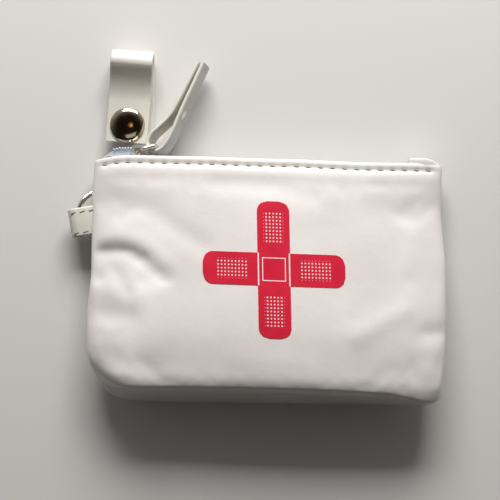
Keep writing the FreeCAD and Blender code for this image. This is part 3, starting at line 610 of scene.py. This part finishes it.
def copies(name, model, frames):
    # one copy of a small model for each frame, all in one piece
    made = []
    for matrix in frames:
        piece = model.copy()
        piece.data = model.data.copy()
        bpy.context.scene.collection.objects.link(piece)
        place(piece, matrix)
        made.append(piece)
    bpy.data.objects.remove(model)
    return joined(made, name)


def seated(at, along, normal):
    # the frame of a stitch or tooth that lies along a way on a surface
    normal = Vector(normal).normalized()
    along = (Vector(along) - normal * Vector(along).dot(normal)).normalized()
    return axes(along, normal.cross(along), normal, at)


slant = math.radians(seam["slant"])
for side, name in ((1, "lip_stitches_front"), (-1, "lip_stitches_back")):
    frames = []
    for x, y in stitchSpots():
        at, normal = onFront(x, y, side)
        frames.append(seated(at + normal * seam["proud"], (math.cos(slant), -math.sin(slant), 0), normal))
    finished(copies(name, bead("stitch", seam["stitch"]), frames), thread, "pouch")
print("lining and lip stitches made")


# the emblem: two crossed plasters, cut from one thin film and laid on the front
emblem = dict(x=2.0, y=3.9, wide=49.0, tall=47.0, arm=11.2, corner=3.6, film=0.09, off=0.1,
              turnWide=-1.6, turnTall=1.25, cell=0.62)    # the turns of its arms, and the size of its faces


def plasterGrid(name, start, end, roundStart, roundEnd):
    # a strip along X whose rounded ends are drawn by narrowing its last cells
    half, corner = emblem["arm"] / 2, emblem["corner"]
    across, down = int((end - start) / emblem["cell"]), int(emblem["arm"] / emblem["cell"])
    bpy.ops.mesh.primitive_grid_add(x_subdivisions=across, y_subdivisions=down, size=2)
    piece = named(name)
    grid = pointsOf(piece) * mm
    x = start + (end - start) * (grid[:, 0] + 1) / 2
    reach = np.full(len(x), half)
    for rounded, off in ((roundStart, x - start), (roundEnd, end - x)):
        if rounded:
            d = np.clip(off, 0, corner)
            reach = np.minimum(reach, half - corner + np.sqrt(corner ** 2 - (corner - d) ** 2))
    setPoints(piece, np.stack([x, grid[:, 1] * reach, np.zeros(len(x))], axis=1))
    return piece


half, wide, tall = emblem["arm"] / 2, emblem["wide"] / 2, emblem["tall"] / 2
tallArm = plasterGrid("arm", -tall, tall, True, True)
place(tallArm, Matrix.Rotation(math.pi / 2, 4, "Z"))
arms = [plasterGrid("arm", -wide, -half, True, False), plasterGrid("arm", half, wide, False, True)]
film = joined([tallArm] + arms, "emblem")
points = pointsOf(film)
x, y = points[:, 0].copy(), points[:, 1].copy()
points[:, 0] = x - y * math.tan(math.radians(emblem["turnTall"])) + emblem["x"]
points[:, 1] = y + x * math.tan(math.radians(emblem["turnWide"])) + emblem["y"]
points[:, 2] = 45    # well above the front, on to which it is then pressed
setPoints(film, points)
edit(film, mergeDoubles)
apply(film, "SHRINKWRAP", target=body, wrap_method="PROJECT", use_project_z=True,
      use_negative_direction=True, use_positive_direction=False, offset=emblem["off"] * mm)
apply(film, "SOLIDIFY", thickness=emblem["film"] * mm, offset=1)
edit(film, faceOut)
smooth(film, 70)

# printed vinyl film: smooth, with a wet gloss; its white lines are drawn as coarse as they need to show
inkMarks = dict(seamAt=5.35, seamWide=0.45, seamReach=5.6, padAt=3.9, padWide=0.3, padReach=4.05,
                holeStep=1.2, hole=0.3, holesFrom=9.0, holesTo=19.5, holesReach=3.4, holeInk=0.8)
redFilm, tree, bsdf, where = material("red vinyl film", IOR=1.5, Roughness=0.3, Coat_Weight=0.35,
                                      Coat_Roughness=0.12)
centred = add(tree, "Mapping", {"Vector": where, "Location": [-emblem["x"] * mm, -emblem["y"] * mm, 0]})
split = add(tree, "SeparateXYZ", {0: centred})
skewed = []
for own, other, lean in (("X", "Y", emblem["turnTall"]), ("Y", "X", -emblem["turnWide"])):
    skewed.append(add(tree, "Math", {0: split.outputs[other], 1: math.tan(math.radians(lean)),
                                     2: split.outputs[own]}, operation="MULTIPLY_ADD"))
offX, offY = [add(tree, "Math", {0: value}, operation="ABSOLUTE") for value in skewed]


def lineAt(value, at, width, inside, reach):
    # 1 on a line at a distance from the middle, for as far as the other distance goes
    apart = add(tree, "Math", {0: value, 1: at * mm}, operation="SUBTRACT")
    apart = add(tree, "Math", {0: apart}, operation="ABSOLUTE")
    near = add(tree, "Math", {0: apart, 1: width / 2 * mm}, operation="LESS_THAN")
    within = add(tree, "Math", {0: inside, 1: reach * mm}, operation="LESS_THAN")
    return add(tree, "Math", {0: near, 1: within}, operation="MULTIPLY")


lines = lineAt(offX, inkMarks["seamAt"], inkMarks["seamWide"], offY, inkMarks["seamReach"])
for value, other in ((offX, offY), (offY, offX)):
    padLine = lineAt(value, inkMarks["padAt"], inkMarks["padWide"], other, inkMarks["padReach"])
    lines = add(tree, "Math", {0: lines, 1: padLine}, operation="MAXIMUM")
squares = []
for value in skewed:
    # how far it is to the middle of the nearest air hole, squared
    shifted = add(tree, "Math", {0: value, 1: inkMarks["holeStep"] / 2 * mm}, operation="ADD")
    folded = add(tree, "Math", {0: shifted, 1: inkMarks["holeStep"] * mm}, operation="PINGPONG")
    apart = add(tree, "Math", {0: folded, 1: inkMarks["holeStep"] / 2 * mm}, operation="SUBTRACT")
    squares.append(add(tree, "Math", {0: apart, 1: 2.0}, operation="POWER"))
holes = add(tree, "Math", {0: squares[0], 1: squares[1]}, operation="ADD")
holes = add(tree, "Math", {0: holes, 1: (inkMarks["hole"] * mm) ** 2}, operation="LESS_THAN")
far = add(tree, "Math", {0: offX, 1: offY}, operation="MAXIMUM")
slim = add(tree, "Math", {0: offX, 1: offY}, operation="MINIMUM")
for value, test, limit in ((far, "GREATER_THAN", "holesFrom"), (far, "LESS_THAN", "holesTo"),
                           (slim, "LESS_THAN", "holesReach")):
    inside = add(tree, "Math", {0: value, 1: inkMarks[limit] * mm}, operation=test)
    holes = add(tree, "Math", {0: holes, 1: inside}, operation="MULTIPLY")
holes = add(tree, "Math", {0: holes, 1: inkMarks["holeInk"]}, operation="MULTIPLY")
white = add(tree, "Math", {0: lines, 1: holes}, operation="MAXIMUM")
flow = add(tree, "TexNoise", {"Vector": where, "Scale": 1 / (9 * mm), "Detail": 3.0})
red = add(tree, "ValToRGB", {"Fac": flow}, [(0.3, "#CB1C38"), (0.7, "#DB2440")])
ink = add(tree, "Mix", {0: white, 6: red, 7: linear("#EFE6E4")}, data_type="RGBA")
flowed = add(tree, "Bump", {"Height": flow, "Distance": 0.05 * mm})
wire(tree, bsdf, {"Base Color": ink.outputs[2], "Normal": flowed})
finished(film, redFilm, "pouch", ["front_emblem"])
print("emblem laid on")


# the side tab: a folded loop of leather that holds the ring
tab = dict(end=(-70.0, 19.3), turn=10.0, midZ=7.4, width=10.0, leaf=1.15,
           path=[(15, 2.6), (11, 2.6), (7.5, 2.62), (4.2, 2.66), (2.1, 2.42), (0.9, 1.5), (0.55, 0),
                 (0.9, -1.5), (2.1, -2.42), (4.2, -2.6), (6.2, -2.3), (8.2, -0.9), (10.4, 1.1)],    # in, up
           stitch=(2.3, 0.5, 0.42), rises=(2.5, 2.66, 2.66), first=2.1, pitch=3.3,
           edges=((-1, 1.2), (1, 1.6)),    # which side, and how far in from it
           skew=0.16, tip=0.1)    # how the stitches lie, and how the first of a row tips over the fold
turn = math.radians(tab["turn"])
inward = Vector((math.cos(turn), math.sin(turn), 0))
across = Vector((-math.sin(turn), math.cos(turn), 0))
tabEnd = Vector((*tab["end"], tab["midZ"]))
loop = band("side_tab", tab["path"], tab["width"], tab["leaf"])
place(loop, axes(inward, (0, 0, 1), -across, tabEnd))
smooth(loop, 60)
finished(loop, strapLeather, "pouch", ["side_tab"])
frames = []
for row, edge in tab["edges"]:
    for i, rise in enumerate(tab["rises"]):
        at = tabEnd + inward * (tab["first"] + tab["pitch"] * i) + across * row * (tab["width"] / 2 - edge)
        at.z += rise + tab["leaf"] / 2
        frames.append(seated(at, inward + across * tab["skew"], (-tab["tip"] * (i == 0), 0, 1)))
finished(copies("tab_stitches", bead("stitch", tab["stitch"]), frames), thread, "pouch")
print("side tab made")


# the zip: two tapes, their coil teeth and the leather end
zipper = dict(
    midZ=7.8, half=61, cloth=0.4, inside=2.0, edgeGap=1.0,    # inside is how far in from the skin they lie
    tape=[(33.0, 1, 0), (36.5, 1, 0), (39.4, 1, 0.1), (40.6, 0.95, 0.25), (41.0, 0.72, 0.45),
          (41.1, 0.4, 0.75), (41.1, 0.0, 1.0)],    # y, share of the way out to the skin, share of the arch
    sink=[(-62, -0.4), (-38, 0), (-24, -0.25), (10, -0.9), (32, -1.75), (62, -2.1)],    # x, and how far
    sinkFade=(33, 40), skinTo=42,
    archRise=[(-60.5, 0), (-59, 1.2), (-57, 3.3), (-55, 4.7), (-53, 5.2), (-49, 5.2), (-47.4, 4.6),
              (-45.6, 2.6), (-44.2, 0.4), (-43.8, 0)],    # the same for the back tape's loose end
    archHigh=5.2, archDip=0.5, archFlat=0.8, archSewn=0.88,
    startX=-55.0, endX=49.4, partedTo=-41.5, pitch=0.5, toothY=41.85, tooth=(2.7, 0.85, 1.15),
    apart=1.15, together=0.65)    # off the middle, left and right of where they part


def skinZ(x, y, inset, side):
    # the height of the plain pouch's skin over x, taken in by inset
    power = squareness(y, pouch["frontSquareness"] if side > 0 else pouch["backSquareness"])
    middle = seamZ(y)
    limit = pouch["mouthHigh"] - inset if side > 0 else pouch["mouthLow"] + inset
    share = (1 - np.clip(np.abs(x) / (pouch["half"] - inset), 0, 1) ** power) ** (1 / power)
    return middle + (limit - middle) * share


def tapeRows(side):
    # lines along the tape, from inside the bag to the edge that carries the coil
    xs = np.linspace(-zipper["half"], zipper["half"], 2 * zipper["half"] + 1)
    sink = between(xs, zipper["sink"])
    arch = between(xs, zipper["archRise"]) if side < 0 else np.zeros(len(xs))
    arched = arch / zipper["archHigh"]
    rows = []
    for y, share, rise in zipper["tape"]:
        outer = skinZ(xs, min(y, zipper["skinTo"]), zipper["inside"], side)
        edge = zipper["midZ"] + side * zipper["edgeGap"] - zipper["archDip"] * arched
        lying = zipper["archFlat"] * arched if share < 1 else 0
        z = edge + (outer - edge) * share * (1 - lying)
        along = y + sink * smoothStep(y, *zipper["sinkFade"]) + arch * rise
        rows.append(np.stack([xs, along, z], axis=1))
    return rows


for side, name in ((1, "front"), (-1, "back")):
    piece = gridThrough("zip_tape_cloth_" + name, tapeRows(side))
    apply(piece, "SUBSURF", levels=1, render_levels=1)
    apply(piece, "SOLIDIFY", thickness=zipper["cloth"] * mm, offset=0)
    edit(piece, faceOut)
    smooth(piece, 60)
    finished(piece, tape, "pouch", ["zip_tape_" + name])

teeth = {1: [], -1: []}
for i in range(int((zipper["endX"] - zipper["startX"]) / zipper["pitch"])):
    side = 1 if i % 2 else -1
    x = zipper["startX"] + zipper["pitch"] * (i + 0.5)
    y = zipper["toothY"] + between(x, zipper["sink"])
    z = zipper["midZ"] + side * (zipper["apart"] if x < zipper["partedTo"] else zipper["together"])
    climb = 0
    if side < 0:
        arch = between(x, zipper["archRise"])
        climb = between(x + 0.5, zipper["archRise"]) - between(x - 0.5, zipper["archRise"])
        y += zipper["archSewn"] * arch    # a little inside the edge of the arch
        z -= zipper["archDip"] * arch / zipper["archHigh"]
    along = Vector((1, climb, 0)).normalized()
    teeth[side].append(axes((0, 0, 1), along, Vector((0, 0, 1)).cross(along), (x, y, z)))
for side, name in ((1, "front"), (-1, "back")):
    finished(copies("zip_coil_teeth_" + name, bead("tooth", zipper["tooth"]), teeth[side]), coilNylon,
             "pouch", ["zip_coil_" + name])

endTab = dict(size=(11.5, 4.0, 8.6), middle=(55.0, 41.1, 7.8), rounding=0.6, slopeFrom=55.5, slopeTo=61.0,
              drop=2.2, narrows=0.5)
bpy.ops.mesh.primitive_cube_add(size=1)
piece = named("zip_end_flap")
edit(piece, lambda: bpy.ops.transform.resize(value=[v * mm for v in endTab["size"]]),
     lambda: bpy.ops.transform.translate(value=[v * mm for v in endTab["middle"]]),
     lambda: bpy.ops.mesh.bevel(offset=endTab["rounding"] * mm, segments=3, affect="EDGES"),
     lambda: bpy.ops.mesh.subdivide(number_cuts=3))
points = pointsOf(piece)
slope = smoothStep(points[:, 0], endTab["slopeFrom"], endTab["slopeTo"])
points[:, 1] -= endTab["drop"] * slope
points[:, 2] -= (points[:, 2] - endTab["middle"][2]) * endTab["narrows"] * slope
setPoints(piece, points)
smooth(piece, 50)
finished(piece, leather, "pouch", ["zip_end_tab"])
print("zip made")


# the pull: one strip, folded round the link and riveted
pull = dict(width=8.2, leaf=1.35, tilt=-14.0, pivot=(-39.78, 46.85, 7.8), angle=57.0, rivetAt=14.2,
            rivetAside=-0.4,
            path=[(-24.2, 76.2), (-28.0, 68.6), (-31.6, 61.4), (-34.3, 56.9), (-38.2, 53.0), (-41.2, 50.0),
                  (-42.0, 47.1), (-40.3, 44.8), (-37.8, 44.9), (-35.2, 47.4), (-33.0, 51.6), (-31.1, 56.3),
                  (-29.3, 60.6), (-25.9, 68.1), (-22.5, 75.9)],    # x, y, before it is tilted
            rivet=[(0, 2.5), (0.9, 2.45), (1.7, 2.25), (2.2, 1.9), (2.2, 1.75), (0.95, 1.7), (0.95, -1.7),
                   (2.2, -1.75), (2.2, -1.9), (1.7, -2.25), (0.9, -2.45), (0, -2.5)])    # radius, height
strip = band("leather_pull_strip", pull["path"], pull["width"], pull["leaf"])
spin = math.radians(pull["angle"])
along = Vector((math.cos(spin), math.sin(spin), 0))
lean = Matrix.Rotation(math.radians(pull["tilt"]), 4, along)
place(strip, Matrix.Translation(Vector(pull["pivot"]) * mm) @ lean
      @ Matrix.Translation(-Vector((*pull["pivot"][:2], 0)) * mm))
smooth(strip, 60)
finished(strip, strapLeather, "leather", ["leather_pull"])


def turned(name, profile, at, axis=(0, 0, 1), steps=48):
    # a turned piece: its half outline, as (radius, height) points, spun about an axis
    bpy.ops.mesh.primitive_circle_add(vertices=3, radius=mm)
    piece = named(name)
    only(piece)
    bpy.ops.object.mode_set(mode="EDIT")
    bpy.ops.mesh.select_all(action="SELECT")
    bpy.ops.mesh.merge(type="CENTER")
    last = (0, 0)
    for r, z in profile:
        if (r, z) == profile[0]:
            bpy.ops.transform.translate(value=(r * mm, 0, z * mm))
        else:
            bpy.ops.mesh.extrude_vertices_move(
                TRANSFORM_OT_translate={"value": ((r - last[0]) * mm, 0, (z - last[1]) * mm)})
        last = (r, z)
    bpy.ops.mesh.select_all(action="SELECT")
    bpy.ops.mesh.spin(steps=steps, angle=2 * math.pi, center=(0, 0, 0), axis=(0, 0, 1))
    bpy.ops.mesh.select_all(action="SELECT")
    mergeDoubles()
    faceOut()
    bpy.ops.object.mode_set(mode="OBJECT")
    axis = Vector(axis).normalized()
    side = axis.orthogonal().normalized()
    place(piece, axes(side, axis.cross(side), axis, at))
    smooth(piece, 35)
    return piece


leafOut = lean.to_3x3() @ Vector((-math.sin(spin), math.cos(spin), 0))
seat = Vector(pull["pivot"]) + along * pull["rivetAt"] + leafOut * pull["rivetAside"]
rivet = turned("pull_rivet_turned", pull["rivet"], seat, leafOut, steps=32)
finished(rivet, nickel, "leather", ["pull_rivet"])
print("pull made")


# the hang strap: back leaf, fold and front leaf; its paths are y and z
strap = dict(x=-48.5, width=15.0, leaf=1.2, low=1.15, foldY=76.3, foldZ=5.35, foldR=4.2,
             skew=-4.5, skewUp=(1.7, 9.0), skewDown=(0, 1),    # skew in degrees, and where it comes in
             anchor=[(35.6, 0.66), (38.5, 0.68), (41.5, 1.0)], backAt=(43.5, 52, 64, 76.3),
             front=[(76.4, 9.5), (75.3, 9.1), (73.8, 8.25), (71.5, 6.95), (69.5, 6.05), (67.5, 5.4),
                    (65.6, 4.95), (64, 4.75), (62.5, 4.7), (58, 4.71), (53, 4.71), (48.4, 4.66)])
standing = ((0, 1, 0), (0, 0, 1), (1, 0, 0))


def swung(points, share):
    # turns points about the fold, as far as share of the front leaf's own skew
    turn = np.radians(strap["skew"]) * np.asarray(share)
    dx, dy = points[:, 0] - strap["x"], points[:, 1] - strap["foldY"]
    points = points.copy()
    points[:, 0] = strap["x"] + dx * np.cos(turn) - dy * np.sin(turn)
    points[:, 1] = strap["foldY"] + dx * np.sin(turn) + dy * np.cos(turn)
    return points


back = band("strap_back", strap["anchor"] + [(y, strap["low"]) for y in strap["backAt"]], strap["width"],
            strap["leaf"])
place(back, axes(*standing, (strap["x"], 0, 0)))
smooth(back, 60)
finished(back, strapLeather, "", ["strap_anchor", "strap_back_leaf"])
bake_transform(back)

arc = [(strap["foldY"] + strap["foldR"] * math.sin(math.radians(a)),
        strap["foldZ"] - strap["foldR"] * math.cos(math.radians(a))) for a in range(0, 161, 20)]
front = band("strap_front", arc + strap["front"], strap["width"], strap["leaf"], steps=5)
place(front, axes(*standing, (strap["x"], 0, 0)))
points = pointsOf(front)
share = np.maximum(smoothStep(points[:, 2], *strap["skewUp"]),
                   smoothStep(strap["foldY"] - points[:, 1], *strap["skewDown"]))
setPoints(front, swung(points, share))
smooth(front, 60)
finished(front, strapLeather, "", ["strap_fold", "strap_front_leaf"])
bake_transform(front)

snapCap = dict(z=5.3, profile=[(0, 1.62), (1.8, 1.58), (3.4, 1.43), (4.6, 1.18), (5.4, 0.9), (5.85, 0.66),
                               (6.14, 0.42), (6.22, 0.2), (6.08, 0.05), (5.7, 0.0), (1.3, 0.0), (1.3, -1.2),
                               (0, -1.2)])    # radius, height
capLow, capHigh = boxOf("snap_cap")
capAt = (*((capLow + capHigh) / 2)[:2], snapCap["z"])
cap = turned("snap_cap_dome", snapCap["profile"], capAt, steps=64)
finished(cap, capNickelPaintedReflection, "flap", ["snap_cap"])
print("strap made")


# the nodes that keep their own shape are only given their finish
dressed = {
    "zip_slider": satinNickel, "pull_link": satinNickel, "zip_top_stops": satinNickel, "zip_end_stop": nickel,
    "side_ring": nickel, "snap_socket": nickel, "snap_stud": nickel, "snap_post": nickel,
    "gauze_roll": gauze, "gauze_pads": gauze, "tape_roll": clothTape, "tape_core": card,
    "plasters": paper, "wipe_sachets": foil, "tweezers": steel, "safety_pins": steel,
}
for name, made in dressed.items():
    nodes[name].data.materials.clear()
    nodes[name].data.materials.append(made)
print("frame nodes dressed")

# the ground, the camera and the lamps
floorTone = dict(colour="#DAD8D5", size=3.0)
bpy.ops.mesh.primitive_plane_add(size=floorTone["size"])
floor = named("floor")
made, tree, bsdf, where = material("matt pale backdrop", Roughness=0.9)
wire(tree, bsdf, {"Base Color": linear(floorTone["colour"])})
floor.data.materials.append(made)

camera = dict(x=-6.3, y=10.5, high=450.0, lens=90.07, roll=0.4)
bpy.ops.object.camera_add(location=(camera["x"] * mm, camera["y"] * mm, camera["high"] * mm),
                          rotation=(0, 0, math.radians(camera["roll"])))
view = bpy.context.active_object
view.data.sensor_width = 36
view.data.lens = camera["lens"]
view.data.clip_start = 0.01
bpy.context.scene.camera = view


def softbox(name, at, aim, size, power, colour=(1, 1, 1)):
    bpy.ops.object.light_add(type="AREA", location=[v * mm for v in at])
    lamp = bpy.context.active_object
    lamp.name = name
    lamp.data.shape = "RECTANGLE"
    lamp.data.size, lamp.data.size_y = size[0] * mm, size[1] * mm
    lamp.data.energy = power
    lamp.data.color = colour
    way = Vector(aim) * mm - lamp.location
    lamp.rotation_euler = way.to_track_quat("-Z", "Y").to_euler()


softbox("window light", (10, 650, 400), (0, 0, 10), (520, 250), 7.9, (1.0, 0.985, 0.965))
softbox("white card", (-16, -110, 470), (-48, 54, 6), (210, 130), 0.055)
softbox("ceiling lamp", (-45, 150, 1150), (-20, 40, 0), (70, 70), 0.03, (1.0, 0.55, 0.22))

# the room: bright beyond the zip, dim behind the base, and dark overhead, which metal mirrors
room = dict(near="#2B2926", far="#DAD9D7", farFrom=-0.5, farTo=0.8, overhead="#2A2119", overFrom=0.55,
            overTo=0.95, strength=0.62)
world = bpy.data.worlds.new("soft room")
bpy.context.scene.world = world
world.use_nodes = True
tree = world.node_tree
split = add(tree, "SeparateXYZ", {0: add(tree, "TexCoord", {}).outputs["Generated"]})
share = add(tree, "MapRange", {0: split.outputs["Y"], 1: room["farFrom"], 2: room["farTo"]},
            interpolation_type="SMOOTHSTEP")
tone = add(tree, "Mix", {0: share, 6: linear(room["near"]), 7: linear(room["far"])}, data_type="RGBA")
above = add(tree, "MapRange", {0: split.outputs["Z"], 1: room["overFrom"], 2: room["overTo"]},
            interpolation_type="SMOOTHSTEP")
tone = add(tree, "Mix", {0: above, 6: tone.outputs[2], 7: linear(room["overhead"])}, data_type="RGBA")
wire(tree, tree.nodes["Background"], {"Color": tone.outputs[2], "Strength": room["strength"]})

scene = bpy.context.scene
scene.view_settings.view_transform = "Standard"
